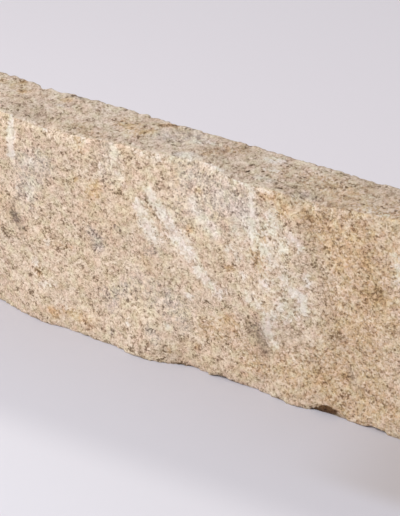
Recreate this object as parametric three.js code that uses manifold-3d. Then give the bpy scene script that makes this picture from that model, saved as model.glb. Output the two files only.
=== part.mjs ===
// A split granite kerb stone, standing on its long narrow bed: one solid block of rock.
//
// The front, the back and the two ends are natural splits, and the top is roughly picked level, so each
// of these faces is an uneven surface of its own. The block is the space between opposite faces: each
// point of a plain gridded box is carried to the same share of the way between them. Spalls are then
// struck off the arrises, the tools leave their scars in the front, and the bed is cut level.
//
// Millimetres, +Z up. X runs along the stone, -Y is the front face and +Y the back. The origin is the
// middle of the bed.

import * as THREE from "three";
import { ImprovedNoise } from "three/addons/math/ImprovedNoise.js";
import { mergeVertices } from "three/addons/utils/BufferGeometryUtils.js";
import Module from "manifold-3d";

// The block.
const LENGTH = 1000;
const WIDTH = 80;
const HEIGHT = 250;
const GRID = 13; // spacing of the points that carry the rock's relief
const BED_CUT = 6; // rock left below the bed, which the level cut takes off
const OUTSIDE = 2; // how far outside the stone a blow's ellipsoid is centred, as a share of its bite
const SPALL_SIDES = 24; // facets round a struck hollow
const SCAR_SIDES = 12; // facets round a tool's groove
const ROLL = 0.13; // radians
const SLIVER = 0.2; // facets thinner than this are merged into their neighbours

// The rock's own relief: long waves of the split, and the short broken hackle on them.
const CLEFT_WAVE = 150;
const CLEFT_RISE = 2.2;
const HACKLE_WAVE = 42;
const HACKLE_RISE = 1.5;
const PICKED_WAVE = 60; // the top, dressed with a pick
const PICKED_RISE = 1.3;
const END_RISE = 4.5; // the ends, broken across the rift, are rougher
// Each face cuts the rock's noise at a depth of its own.
const LAYER = { front: 3.2, back: 7.7, left: 11.4, right: 15.9, top: 19.3 };

// Swells and hollows of the front: the middle of each, how far it reaches, and its rise.
const FRONT_SWELLS = [
  { x: -48, z: 12, reachX: 38, reachZ: 46, rise: 12 }, // belly over the bed, left of the middle
  { x: -182, z: 8, reachX: 28, reachZ: 42, rise: 5 },
  { x: -112, z: 2, reachX: 24, reachZ: 18, rise: 4.5 }, // foot left standing
  { x: -268, z: 6, reachX: 36, reachZ: 52, rise: -12 }, // foot drawn in at the left
  { x: 14, z: 0, reachX: 20, reachZ: 30, rise: -7 },
  { x: 88, z: 2, reachX: 28, reachZ: 28, rise: -3 },
  { x: 148, z: 10, reachX: 26, reachZ: 30, rise: 5 },
  { x: 300, z: 16, reachX: 30, reachZ: 40, rise: 5 },
  { x: -185, z: HEIGHT - 12, reachX: 56, reachZ: 40, rise: 6 }, // brow at the upper left
  { x: 24, z: HEIGHT + 22, reachX: 34, reachZ: 46, rise: -20 }, // flake pitched off the top
  { x: -14, z: HEIGHT + 12, reachX: 40, reachZ: 34, rise: -5 },
  { x: 96, z: HEIGHT - 4, reachX: 26, reachZ: 34, rise: 4 },
  { x: 305, z: HEIGHT + 12, reachX: 52, reachZ: 74, rise: -17 }, // upper right leans back
  { x: 204, z: HEIGHT - 100, reachX: 22, reachZ: 90, rise: -3 }, // trough beside the boss
  { x: -140, z: HEIGHT / 2 - 5, reachX: 90, reachZ: 60, rise: -2.5 },
  { x: -LENGTH / 2 + 90, z: HEIGHT - 100, reachX: 60, reachZ: 80, rise: 5 },
  { x: LENGTH / 2 - 70, z: HEIGHT / 2 - 15, reachX: 60, reachZ: 70, rise: -5 },
];

// The boss in the front: a raised flake that thickens towards one end and breaks off there in a step.
const BOSS = { x: 88, z: HEIGHT - 78, reachX: 96, reachZ: 120, from: -60, rise: 6, step: 0.3 };

// Low swells of the top: X and Y of the middle of each.
const TOP_SWELLS = [
  { x: 18, y: -WIDTH / 2 + 26, reachX: 46, reachY: 34, rise: 1.5 },
  { x: -175, y: -WIDTH / 2 - 4, reachX: 60, reachY: 26, rise: -4.5 },
  { x: 166, y: -WIDTH / 2 - 8, reachX: 23, reachY: 24, rise: -8 },
  { x: -95, y: WIDTH / 2, reachX: 70, reachY: 34, rise: 1.5 },
  { x: -300, y: WIDTH / 2, reachX: 60, reachY: 40, rise: 2 },
  { x: -LENGTH / 2 + 90, y: 0, reachX: 60, reachY: 40, rise: -2.5 },
];

const BACK_SWELLS = [
  { x: -240, z: HEIGHT - 60, reachX: 110, reachZ: 60, rise: 3 },
  { x: 60, z: 40, reachX: 140, reachZ: 50, rise: 2 },
  { x: 250, z: HEIGHT - 80, reachX: 90, reachZ: 50, rise: -4 },
  { x: LENGTH / 2 - 100, z: 60, reachX: 70, reachZ: 60, rise: -6 },
  { x: -60, z: HEIGHT - 100, reachX: 80, reachZ: 70, rise: -3 },
];

// Spalls struck off the four long arrises: the middle of each along X, its length, how far it reaches in
// from the arris on the top or bed, and how far up or down the broad face.
const FRONT_TOP_SPALLS = [
  { x: -178, length: 96, inward: 4, down: 5 },
  { x: 166, length: 26, inward: 6, down: 7 },
  { x: 342, length: 56, inward: 6, down: 9 },
  { x: -LENGTH / 2 + 148, length: 60, inward: 9, down: 14 },
  { x: LENGTH / 2 - 118, length: 86, inward: 12, down: 18 },
];
const FRONT_BED_SPALLS = [
  { x: 200, length: 52, inward: 34, down: 9 }, // arched gap over the ground
  { x: 60, length: 38, inward: 12, down: 3 },
  { x: 258, length: 34, inward: 10, down: 3 },
  { x: -LENGTH / 2 + 105, length: 90, inward: 16, down: 12 },
  { x: LENGTH / 2 - 95, length: 64, inward: 14, down: 8 },
];
const BACK_TOP_SPALLS = [
  { x: -243, length: 18, inward: 5, down: 4 },
  { x: -224, length: 27, inward: 5, down: 4 },
  { x: 196, length: 50, inward: 5, down: 6 },
  { x: LENGTH / 2 - 160, length: 90, inward: 12, down: 20 },
  { x: -LENGTH / 2 + 80, length: 70, inward: 11, down: 12 },
];
const BACK_BED_SPALLS = [
  { x: -300, length: 120, inward: 14, down: 16 },
  { x: 20, length: 70, inward: 9, down: 8 },
  { x: 240, length: 110, inward: 12, down: 13 },
];

// Tool scars in the front: shallow grooves between two points [x, drop below the top], ending in a round.
const SCAR_DEPTH = 1.8;
const SCARS = [
  { from: [-57, 55], to: [-31, 103], width: 16 },
  { from: [-45, 42], to: [52, 150], width: 17 },
  { from: [14, 43], to: [50, 78], width: 16 },
  { from: [74, 90], to: [112, 138], width: 18 },
  { from: [108, 68], to: [168, 130], width: 17 },
  { from: [126, 47], to: [160, 64], width: 14 },
];
// Marks of the splitting chisel, straight down the face.
const CHISEL_MARKS = [
  { from: [-232, -6], to: [-232, 60], width: 12 },
  { from: [95, -2], to: [97, 70], width: 12 },
  { from: [279, 24], to: [281, 78], width: 15 },
  { from: [-LENGTH / 2 + 68, -6], to: [-LENGTH / 2 + 69, 54], width: 12 },
  { from: [LENGTH / 2 - 54, -6], to: [LENGTH / 2 - 53, 62], width: 12 },
];

const { lerp, smoothstep } = THREE.MathUtils;
const rock = new ImprovedNoise();

/** The sum of rounded rises at the point (u, v) of a face, where across names the second direction. */
function swells(list, u, v, across) {
  const reachAcross = "reach" + across.toUpperCase();
  return list.reduce((sum, swell) => {
    const alongShare = (u - swell.x) / swell.reachX;
    const acrossShare = (v - swell[across]) / swell[reachAcross];
    return sum + swell.rise * Math.exp(-(alongShare ** 2) - acrossShare ** 2);
  }, 0);
}

/** Relief of a natural split; each face takes its own layer of the same rock. */
function split(u, v, layer, rise = CLEFT_RISE) {
  const waves = rise * rock.noise(u / CLEFT_WAVE, v / CLEFT_WAVE, layer);
  const hackle = HACKLE_RISE * rock.noise(u / HACKLE_WAVE, v / HACKLE_WAVE, layer + 0.5);
  return waves + hackle;
}

/** Height of the boss over the front, thickest at the edge where it breaks off. */
function boss(x, z) {
  const radius = Math.hypot((x - BOSS.x) / BOSS.reachX, (z - BOSS.z) / BOSS.reachZ);
  const thickness = smoothstep(x, BOSS.from, BOSS.x + BOSS.reachX);
  return BOSS.rise * thickness * (1 - smoothstep(radius, 1 - BOSS.step, 1));
}

// Where each face lies.
const frontRise = (x, z) => split(x, z, LAYER.front) + swells(FRONT_SWELLS, x, z, "z") + boss(x, z);
const frontY = (x, z) => -WIDTH / 2 - frontRise(x, z);
const backY = (x, z) => WIDTH / 2 + split(x, z, LAYER.back) + swells(BACK_SWELLS, x, z, "z");
const leftX = (y, z) => -LENGTH / 2 - split(y, z, LAYER.left, END_RISE);
const rightX = (y, z) => LENGTH / 2 + split(y, z, LAYER.right, END_RISE);
const picked = (x, y) => PICKED_RISE * rock.noise(x / PICKED_WAVE, y / PICKED_WAVE, LAYER.top);
const topZ = (x, y) => HEIGHT + picked(x, y) + swells(TOP_SWELLS, x, y, "y");

/** A closed geometry as a solid that can be cut. */
function toSolid(geometry) {
  const bare = geometry.clone();
  bare.deleteAttribute("normal");
  bare.deleteAttribute("uv");
  const merged = mergeVertices(bare, 1e-3);
  const vertProperties = new Float32Array(merged.attributes.position.array);
  const triVerts = new Uint32Array(merged.index.array);
  return new wasm.Manifold(new wasm.Mesh({ numProp: 3, vertProperties, triVerts }));
}

/** The solid's triangles as a three.js geometry, with flat facets. */
function toGeometry(solid) {
  const { vertProperties, triVerts, numProp } = solid.getMesh();
  const geometry = new THREE.BufferGeometry();
  const position = new THREE.InterleavedBufferAttribute(
    new THREE.InterleavedBuffer(vertProperties, numProp), 3, 0,
  );
  geometry.setAttribute("position", position);
  geometry.setIndex(new THREE.BufferAttribute(triVerts, 1));
  const faceted = geometry.toNonIndexed();
  faceted.computeVertexNormals();
  return faceted;
}

/** The block between the six faces, with rock to spare below the bed. */
function roughBlock() {
  const cells = (size) => Math.max(2, Math.round(size / GRID));
  const geometry = new THREE.BoxGeometry(1, 1, 1, cells(LENGTH), cells(WIDTH), cells(HEIGHT));
  const position = geometry.attributes.position;
  for (let i = 0; i < position.count; i++) {
    const along = position.getX(i) + 0.5;
    const inward = position.getY(i) + 0.5;
    const up = position.getZ(i) + 0.5;
    const x = lerp(-LENGTH / 2, LENGTH / 2, along);
    const y = lerp(-WIDTH / 2, WIDTH / 2, inward);
    const z = lerp(-BED_CUT, HEIGHT, up);
    position.setXYZ(
      i,
      lerp(leftX(y, z), rightX(y, z), along),
      lerp(frontY(x, z), backY(x, z), inward),
      lerp(-BED_CUT, topZ(x, y), up),
    );
  }
  return toSolid(geometry);
}

/** A level slab that takes off everything below the bed. */
function belowBed() {
  const slab = new THREE.BoxGeometry(LENGTH * 2, WIDTH * 4, BED_CUT * 4);
  slab.translate(0, 0, -BED_CUT * 2);
  return toSolid(slab);
}

/** An ellipsoid to strike away. Its small roll keeps its seams off the block's own grid lines. */
function ellipsoid(sides, radiusX, radiusY, radiusZ) {
  const shell = new THREE.SphereGeometry(1, sides, Math.round(sides / 2));
  return shell.rotateX(ROLL).scale(radiusX, radiusY, radiusZ);
}

/**
 * The rock that a spall takes off a long arris. The ellipsoid is centred outside the arris by OUTSIDE
 * times the bite each way, so that the hollow it leaves is shallow, and it crosses both faces and the
 * arris itself exactly where the bite ends.
 */
function spall({ x, length, inward, down }, isFront, isTop) {
  const side = isFront ? -1 : 1;
  const level = isTop ? 1 : -1;
  const arrisZ = isTop ? topZ(x, (side * WIDTH) / 2) : 0;
  const arrisY = isFront ? frontY(x, arrisZ) : backY(x, arrisZ);
  const size = Math.hypot(1 + OUTSIDE, OUTSIDE);
  const halfLength = (size * length) / 2 / Math.sqrt(1 + 2 * OUTSIDE);
  const bite = ellipsoid(SPALL_SIDES, halfLength, size * inward, size * down);
  bite.translate(x, arrisY + side * OUTSIDE * inward, arrisZ + level * OUTSIDE * down);
  return toSolid(bite);
}

/** The rock that a tool takes out of the front along one stroke, from its upper end to its lower. */
function scar({ from, to, width }) {
  const [upper, lower] = [from, to].map(([x, drop]) => {
    const z = HEIGHT - drop;
    return new THREE.Vector3(x, frontY(x, z), z);
  });
  const middleX = (upper.x + lower.x) / 2;
  const middleZ = (upper.z + lower.z) / 2;
  const widening = (1 + OUTSIDE) / Math.sqrt(1 + 2 * OUTSIDE);
  const halfWidth = (width / 2) * widening;
  const halfLength = ((upper.distanceTo(lower) + width) / 2) * widening;
  const stroke = ellipsoid(SCAR_SIDES, halfWidth, (1 + OUTSIDE) * SCAR_DEPTH, halfLength);
  stroke.translate(0, -OUTSIDE * SCAR_DEPTH, 0);
  const upwards = upper.sub(lower).normalize();
  stroke.applyQuaternion(new THREE.Quaternion().setFromUnitVectors(new THREE.Vector3(0, 0, 1), upwards));
  stroke.translate(middleX, frontY(middleX, middleZ), middleZ);
  return toSolid(stroke);
}

const wasm = await Module();
wasm.setup();

const blows = [
  ...FRONT_TOP_SPALLS.map((bite) => spall(bite, true, true)),
  ...FRONT_BED_SPALLS.map((bite) => spall(bite, true, false)),
  ...BACK_TOP_SPALLS.map((bite) => spall(bite, false, true)),
  ...BACK_BED_SPALLS.map((bite) => spall(bite, false, false)),
  ...SCARS.map(scar),
  ...CHISEL_MARKS.map(scar),
];
const struck = blows.reduce((left, taken) => left.subtract(taken), roughBlock()).simplify(SLIVER);
const bedded = struck.subtract(belowBed());
// A crumb can be left outside a bite; it falls away.
const [stone] = bedded.decompose().sort((one, other) => other.volume() - one.volume());

/** Moves the geometry so that the middle of its bed is the origin. */
function centreOnBed(geometry) {
  geometry.computeBoundingBox();
  const middle = geometry.boundingBox.getCenter(new THREE.Vector3());
  return geometry.translate(-middle.x, -middle.y, 0);
}

const granite = new THREE.MeshStandardMaterial({ color: 0xcbb497, roughness: 0.9, metalness: 0 });
const kerbStone = new THREE.Mesh(centreOnBed(toGeometry(stone)), granite);
kerbStone.name = "kerb_stone";

const kerb = new THREE.Group();
kerb.add(kerbStone);
export default kerb;
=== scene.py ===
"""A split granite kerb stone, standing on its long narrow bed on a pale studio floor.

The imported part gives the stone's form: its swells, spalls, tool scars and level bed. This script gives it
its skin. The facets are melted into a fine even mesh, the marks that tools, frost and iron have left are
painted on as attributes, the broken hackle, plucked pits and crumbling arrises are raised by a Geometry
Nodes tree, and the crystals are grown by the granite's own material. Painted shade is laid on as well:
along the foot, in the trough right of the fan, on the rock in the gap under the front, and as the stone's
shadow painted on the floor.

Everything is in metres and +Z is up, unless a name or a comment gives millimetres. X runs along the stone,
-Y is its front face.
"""

from __future__ import annotations

import logging
from dataclasses import dataclass, field
from enum import Enum
from math import cos, radians, sin
from typing import Sequence

import bmesh
import bpy
import numpy as np
from mathutils import Color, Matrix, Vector

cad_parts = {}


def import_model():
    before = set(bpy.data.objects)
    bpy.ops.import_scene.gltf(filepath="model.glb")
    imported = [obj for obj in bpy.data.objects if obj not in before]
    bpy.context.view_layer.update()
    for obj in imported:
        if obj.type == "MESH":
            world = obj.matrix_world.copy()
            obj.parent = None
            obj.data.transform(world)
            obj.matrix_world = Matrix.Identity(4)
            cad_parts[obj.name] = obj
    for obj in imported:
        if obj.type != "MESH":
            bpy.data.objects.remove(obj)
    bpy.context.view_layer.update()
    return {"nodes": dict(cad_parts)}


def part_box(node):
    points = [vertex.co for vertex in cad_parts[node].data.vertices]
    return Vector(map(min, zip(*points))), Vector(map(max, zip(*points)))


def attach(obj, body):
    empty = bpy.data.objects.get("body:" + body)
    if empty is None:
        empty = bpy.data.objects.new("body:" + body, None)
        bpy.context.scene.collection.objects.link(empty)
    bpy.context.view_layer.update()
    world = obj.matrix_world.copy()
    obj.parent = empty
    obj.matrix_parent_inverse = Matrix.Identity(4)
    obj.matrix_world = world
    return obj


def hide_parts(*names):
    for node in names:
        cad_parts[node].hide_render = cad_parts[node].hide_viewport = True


LOG = logging.getLogger("kerb_stone")
MM = 0.001
TINY = 1e-9

# The part's origin is the middle of its box. The faces were laid out from the middle of the nominal block,
# which lies this far from it.
BLOCK_MIDDLE = Vector((-1.1 * MM, 4.9 * MM, 0.0))

Colour = tuple[float, float, float]
Ramp = tuple[tuple[float, Colour], ...]
Span = tuple[float, float]
Place = tuple[float, float, float]


def srgb(red: int, green: int, blue: int) -> Colour:
    """Turns a colour of 8-bit display values into the linear one that Blender renders with."""
    return tuple(Color((red / 255, green / 255, blue / 255)).from_srgb_to_scene_linear())


def rising(values: np.ndarray, gain: float, start: float = 0.0) -> np.ndarray:
    """Multiplies values by a gain, takes a start away and keeps the result within 0 and 1."""
    return np.clip(values * gain - start, 0.0, 1.0)


def in_block(places: np.ndarray) -> np.ndarray:
    """Measures points in millimetres from the middle of the block."""
    return (places - np.array(BLOCK_MIDDLE)) / MM


# ---- Node trees, written as expressions ----


@dataclass(frozen=True)
class Term:
    """One output in a node tree. Arithmetic on it adds Math nodes to the tree."""

    graph: "Graph"
    socket: bpy.types.NodeSocket

    def __getitem__(self, output: str | int) -> "Term":
        """Takes another output of the same node."""
        return Term(self.graph, self.socket.node.outputs[output])

    def __add__(self, other: "Term | float") -> "Term":
        """Adds a term or a number."""
        return self.graph.maths("ADD", self, other)

    def __sub__(self, other: "Term | float") -> "Term":
        """Takes a term or a number away."""
        return self.graph.maths("SUBTRACT", self, other)

    def __rsub__(self, other: float) -> "Term":
        """Takes this term away from a number."""
        return self.graph.maths("SUBTRACT", other, self)

    def __mul__(self, other: "Term | float") -> "Term":
        """Multiplies by a term or a number."""
        return self.graph.maths("MULTIPLY", self, other)

    __radd__ = __add__
    __rmul__ = __mul__

    def step(self, low: float, high: float) -> "Term":
        """Rises smoothly from 0 to 1 as this term goes from low to high, or falls where high is the lower.

        Args:
            low: the value at which the result is 0.
            high: the value at which the result is 1.

        Returns:
            The smooth step.
        """
        if low > high:
            return 1.0 - self.step(high, low)
        ends = {"Value": self, "From Min": low, "From Max": high}
        return self.graph.term("ShaderNodeMapRange", ends, interpolation_type="SMOOTHSTEP")


class Graph:
    """A node tree under construction, for a material or for geometry."""

    def __init__(self, tree: bpy.types.NodeTree) -> None:
        """Takes over an empty tree."""
        self.tree = tree

    def node(self, kind: str, sockets: dict | None = None, **settings: object) -> bpy.types.Node:
        """Adds a node.

        Args:
            kind: the node's type.
            sockets: the values or links of its inputs, by name, identifier or index.
            settings: its properties, which are set first; "stops" fills a colour ramp with (place, colour).

        Returns:
            The new node.
        """
        node = self.tree.nodes.new(kind)
        for name, value in settings.items():
            if name == "stops":
                self._fill_ramp(node.color_ramp, value)
            else:
                setattr(node, name, value)
        for key, value in (sockets or {}).items():
            if isinstance(value, Term):
                self.tree.links.new(value.socket, self._input(node, key))
            else:
                self._input(node, key).default_value = value
        return node

    def term(self, kind: str, sockets: dict | None = None, **settings: object) -> Term:
        """Adds a node and wraps its first output."""
        return Term(self, self.node(kind, sockets, **settings).outputs[0])

    def maths(self, operation: str, *values: "Term | float") -> Term:
        """Adds a Math node on one to three values."""
        return self.term("ShaderNodeMath", dict(enumerate(values)), operation=operation)

    def vector(self, operation: str, *values: "Term | Sequence[float]") -> Term:
        """Adds a Vector Math node on one to three vectors."""
        return self.term("ShaderNodeVectorMath", dict(enumerate(values)), operation=operation)

    def scaled(self, vector: Term, factor: "Term | float") -> Term:
        """Scales a vector by a number."""
        return self.term("ShaderNodeVectorMath", {"Vector": vector, "Scale": factor}, operation="SCALE")

    def blend(
        self, factor: "Term | float", under: "Term | Colour", over: "Term | Colour", how: str = "MIX"
    ) -> Term:
        """Lays one colour over another.

        Args:
            factor: how much of the upper colour shows, 0 to 1.
            under: the lower colour.
            over: the upper colour.
            how: the Mix node's blend type.

        Returns:
            The mixed colour.
        """
        colours = {
            name: (*colour, 1.0) if isinstance(colour, tuple) else colour
            for name, colour in (("A_Color", under), ("B_Color", over))
        }
        sockets = {"Factor_Float": factor, **colours}
        return self.term("ShaderNodeMix", sockets, data_type="RGBA", blend_type=how)[2]

    def noise(self, place: Term, size: "Term | float", **shape: float) -> Term:
        """Adds a Noise Texture whose features are about a given size.

        Args:
            place: where the noise is read.
            size: the size of its largest features, in metres.
            shape: values of the texture's other inputs, by name.

        Returns:
            The noise, mostly from 0.3 to 0.7.
        """
        scale = self.maths("DIVIDE", 1.0, size) if isinstance(size, Term) else 1.0 / size
        return self.term("ShaderNodeTexNoise", {"Vector": place, "Scale": scale, **shape})

    def cells(self, place: Term, size: "Term | float") -> Term:
        """Adds a Voronoi Texture whose cells are about a given size.

        Args:
            place: where the cells are read.
            size: their size, in metres.

        Returns:
            The distance to the middle of the cell. The node's "Color" gives each cell numbers of its own.
        """
        scale = self.maths("DIVIDE", 1.0, size) if isinstance(size, Term) else 1.0 / size
        return self.term("ShaderNodeTexVoronoi", {"Vector": place, "Scale": scale})

    def parts(self, colour: Term) -> Term:
        """Splits a colour into "Red", "Green" and "Blue"."""
        return self.term("ShaderNodeSeparateColor", {"Color": colour})

    def end_in_principled(self, sockets: dict) -> None:
        """Ends a material's tree in a Principled shader."""
        self.node("ShaderNodeOutputMaterial", {"Surface": self.term("ShaderNodeBsdfPrincipled", sockets)})

    @staticmethod
    def _fill_ramp(ramp: bpy.types.ColorRamp, stops: Ramp) -> None:
        """Fills a colour ramp.

        Args:
            ramp: the node's ramp, which starts with two stops.
            stops: its stops, as (place, colour).
        """
        for spare in list(ramp.elements)[1:]:
            ramp.elements.remove(spare)
        for index, (place, colour) in enumerate(stops):
            element = ramp.elements.new(place) if index else ramp.elements[0]
            element.position = place
            element.color = (*colour, 1.0)

    @staticmethod
    def _input(node: bpy.types.Node, key: str | int) -> bpy.types.NodeSocket:
        """Finds an input by its identifier, or else by its name or index."""
        found = [socket for socket in node.inputs if socket.identifier == key]
        return found[0] if found else node.inputs[key]


def new_material(name: str) -> bpy.types.Material:
    """Makes a material with an empty node tree.

    Args:
        name: the material's name.

    Returns:
        The material.
    """
    material = bpy.data.materials.new(name)
    material.use_nodes = True
    material.node_tree.nodes.clear()
    return material


def new_object(name: str, data: bpy.types.ID) -> bpy.types.Object:
    """Puts an object into the scene, at the origin.

    Args:
        name: the object's name.
        data: its mesh, light or camera.

    Returns:
        The object.
    """
    made = bpy.data.objects.new(name, data)
    bpy.context.scene.collection.objects.link(made)
    return made


# ---- Marks on the stone ----

# The line of sight along which marks are laid on the swells of the front and the top.
SIGHT = (0.517, -0.734, 0.440)


class Face(Enum):
    """The faces that marks are laid on.

    The value gives the two axes of the face's plan, the way the face looks, how far its nominal plane lies
    from the block's middle in millimetres, and the line along which marks are laid on its swells.
    """

    FRONT = (0, 2, (0.0, -1.0, 0.0), 40.0, SIGHT)
    BACK = (0, 2, (0.0, 1.0, 0.0), 40.0, (0.0, 1.0, 0.0))
    TOP = (0, 1, (0.0, 0.0, 1.0), 250.0, SIGHT)

    @property
    def outward(self) -> np.ndarray:
        """The way the face looks."""
        return np.array(self.value[2])

    def plan(self, places: np.ndarray) -> np.ndarray:
        """Carries points along the line onto the nominal face.

        Args:
            places: the points, in metres.

        Returns:
            Their places in the face's plan, in millimetres from the middle of the block.
        """
        first, second, _, distance, line = self.value
        measured = in_block(places)
        proud = (measured @ self.outward - distance) / (np.array(line) @ self.outward)
        return (measured - proud[:, None] * np.array(line))[:, [first, second]]


class Tone(Enum):
    """What has changed the stone's colour, and where shade is painted. The value is the name of the
    attribute that carries it.
    """

    BRUISE = "bruise"  # crystals crushed white by a tool
    UMBER = "umber"  # dark mica-rich or soiled patch, and the painted shade along the foot
    SLATE = "slate"  # grey quartz-rich patch
    RUST = "rust"  # iron stain
    DUN = "dun"  # smoothly darker stone without an edge: duller stone, and painted shade in the trough right of the fan
    MICA = "mica"  # single black crystal, and the painted shade on the rock in the gap under the front


# By tone and then by strength, a row for each mark: its points, one number after another, and its width.
MarkTable = dict[Tone, dict[float, list[tuple[float, ...]]]]


@dataclass(frozen=True)
class Mark:
    """A painted mark along a line of points on one face, in millimetres from the middle of the block."""

    FALL = 1.4  # how sharply a mark falls off towards its edge

    tone: Tone  # what the mark is
    # its points, one or more, as (along, up) on the front and back or (along, back) on the top
    path: tuple[Span, ...]
    width: float  # its full width
    strength: float  # its share of full strength
    face: Face  # the face it lies on

    @classmethod
    def listed(cls, face: Face, table: MarkTable) -> "tuple[Mark, ...]":
        """Reads marks from a table.

        Args:
            face: the face they lie on.
            table: the marks.

        Returns:
            The marks.
        """
        return tuple(
            cls(tone, tuple(zip(points[::2], points[1::2])), width, strength, face)
            for tone, strengths in table.items()
            for strength, rows in strengths.items()
            for *points, width in rows
        )

    def shade(self, plan: np.ndarray, facing: np.ndarray) -> np.ndarray:
        """Works out how strongly the mark shows at each point.

        Args:
            plan: the points in the face's plan.
            facing: how squarely the surface faces out there, 0 to 1.

        Returns:
            The strength at each point, 0 to 1.
        """
        ends = np.array(self.path, dtype=float)
        nearest = np.full(len(plan), np.inf)
        for start, end in zip(ends, ends[1:] if len(ends) > 1 else ends):
            run = end - start
            share = np.clip((plan - start) @ run / max(run @ run, TINY), 0.0, 1.0)
            offsets = plan - start - share[:, None] * run
            nearest = np.minimum(nearest, np.hypot(offsets[:, 0], offsets[:, 1]))
        bell = np.exp(-((2.0 * nearest / self.width) ** 2) * self.FALL)
        return np.clip(self.strength * facing * bell, 0.0, 1.0)


# Where the splitting chisel was set, along the top of the front.
CHISEL_MARKS = Mark.listed(Face.FRONT, {
    Tone.BRUISE: {
        1.6: [(-232, 226, -233, 198, 11)],
        1.2: [(-230, 251, -232, 228, 7)],
        1.1: [(280, 213, 281, 203, 15)],
        1.05: [(97, 242, 95, 230, 95, 211, 8)],
        1.0: [(-431, 250, -430, 200, 12), (447, 250, 448, 192, 12)],
        0.95: [(95, 211, 95, 196, 97, 188, 10)],
        0.75: [(282, 203, 284, 184, 13)],
    },
})

# The fan of blows right of the middle: strokes, single blows and the bruised skin between them.
FAN = Mark.listed(Face.FRONT, {
    Tone.BRUISE: {
        1.25: [(94, 112, 18), (149, 134, 15)],
        1.2: [(117, 84, 119, 74, 17)],
        1.15: [(-41, 203, -37, 198, 15), (162, 130, 164, 117, 17)],
        1.1: [(106, 107, 13), (119, 96, 17), (135, 183, 14)],
        1.05: [(-54, 185, -52, 179, 17), (27, 126, 32, 122, 18)],
        0.95: [(112, 177, 118, 169, 15)],
        0.9: [(-43, 158, -33, 149, 23), (127, 101, 12), (128, 65, 12), (134, 110, 13), (176, 243, 10)],
        0.85: [
            (-26, 186, -20, 180, 15), (3, 153, 9, 147, 16, 141, 23), (19, 208, 27, 197, 17),
            (32, 191, 40, 184, 47, 179, 18),
        ],
        0.8: [(-7, 160, -1, 154, 15)],
        0.7: [
            (-50, 174, -44, 162, 19), (-15, 174, -10, 164, 20), (11, 91, 13), (40, 116, 50, 106, 17),
            (55, 104, 11), (65, 163, 13), (74, 188, 12), (77, 157, 13), (85, 137, 12),
            (124, 222, 118, 213, 12), (125, 200, 11), (149, 199, 158, 191, 13), (180, 242, 9),
        ],
        0.6: [
            (-35, 195, -28, 188, 18), (111, 139, 113, 131, 12), (138, 149, 139, 138, 12),
            (169, 162, 168, 150, 12),
        ],
        0.5: [
            (60, 110, 12), (130, 208, 14), (133, 116, 141, 117, 12), (141, 99, 150, 105, 13),
            (153, 248, 157, 241, 12),
        ],
        0.26: [(90, 206, 140, 196, 56)],
        0.24: [(104, 180, 144, 116, 72)],
        0.08: [(0, 196, 60, 205, 70)],
    },
    Tone.SLATE: {
        0.45: [(20, 207, 34, 190, 48, 178, 26)],
        0.3: [(6, 196, 66, 215, 70)],
    },
    Tone.DUN: {
        0.6: [(154, 124, 150, 114, 11)],
        0.5: [(142, 128, 140, 122, 10)],
    },
})

# Pale skin where the flake came off the top arris, and pale crystals elsewhere.
PALE_SKIN = Mark.listed(Face.FRONT, {
    Tone.BRUISE: {
        0.8: [(-210, 155, 14), (-205, 195, 15), (-203, 72, 12), (-183, 102, 11), (-83, 213, 12)],
        0.7: [(-188, 247, -184, 243, 12), (41, 259, 50, 256, 60, 253, 75, 249, 91, 245, 9)],
        0.6: [
            (-226, 160, 10), (-200, 170, 20), (-195, 44, -172, 53, 11), (-195, 212, 10), (-160, 28, 12),
            (-107, 218, -106, 208, 7), (-72, 33, 12), (-28, 248, 10), (-18, 45, 12), (15, 90, 13),
            (125, 65, 11),
        ],
        0.5: [(-90, 246, -84, 238, 8), (140, 251, 153, 249, 160, 245, 9)],
        0.4: [(-134, 246, -129, 243, 14)],
        0.35: [(-56, 248, -10, 250, 16)],
        0.3: [(-85, 232, -79, 208, 26), (46, 248, 70, 240, 9), (108, 246, 134, 243, 12)],
        0.2: [(-96, 236, -96, 206, 44)],
        0.14: [(10, 240, 84, 220, 46)],
    },
    Tone.SLATE: {
        0.7: [(-200, 172, -206, 160, 22), (-92, 246, -86, 238, 14), (16, 238, 84, 214, 54)],
        0.5: [(-216, 192, -184, 198, 34), (-204, 190, -214, 150, 44)],
        0.42: [(-52, 84, 6, 60, 56)],
        0.4: [(-96, 236, -96, 206, 44)],
    },
    Tone.DUN: {
        0.5: [(38, 248, 66, 245, 22), (150, 240, 166, 238, 16)],
        0.2: [(10, 238, 80, 212, 64)],
    },
})

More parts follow.
